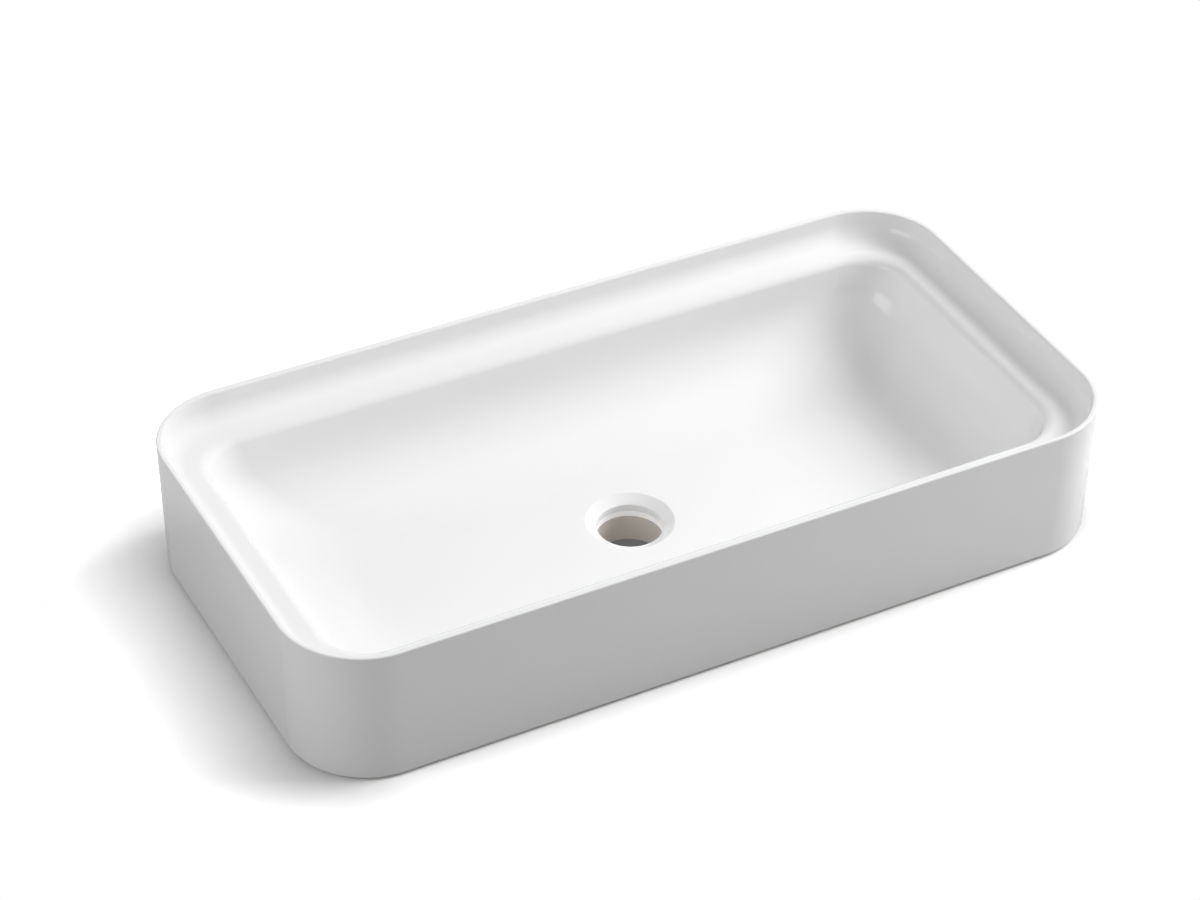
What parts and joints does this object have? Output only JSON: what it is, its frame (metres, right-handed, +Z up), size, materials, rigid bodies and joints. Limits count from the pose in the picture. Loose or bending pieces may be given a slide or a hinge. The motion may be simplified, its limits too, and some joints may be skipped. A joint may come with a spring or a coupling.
{
  "type": "countertop washbasin",
  "caption": "Deep rounded rectangular countertop washbasin in white glazed ceramic, with a thin rim, an inner ledge, a smooth dished bowl and an open central drain hole.",
  "frame": {"origin": "middle of the foot, on the counter that the basin stands on", "axes": "+X along the length of the basin, +Y towards the back long wall, +Z up"},
  "size_m": [0.6, 0.304, 0.102],
  "materials": {
    "glaze": "gloss",
    "biscuit": "matt unglazed"
  },
  "bodies": {
    "root": {"rim_and_ledge": "glaze", "bowl_wall": "glaze", "bowl_cove_ring": "glaze", "bowl_floor": "glaze", "drain_seat": "glaze", "drain_boss": "biscuit", "outer_skirt": "glaze", "foot_ring": "biscuit", "underside_panel": "biscuit", "ledge_props": "biscuit"}
  },
  "joints": []
}
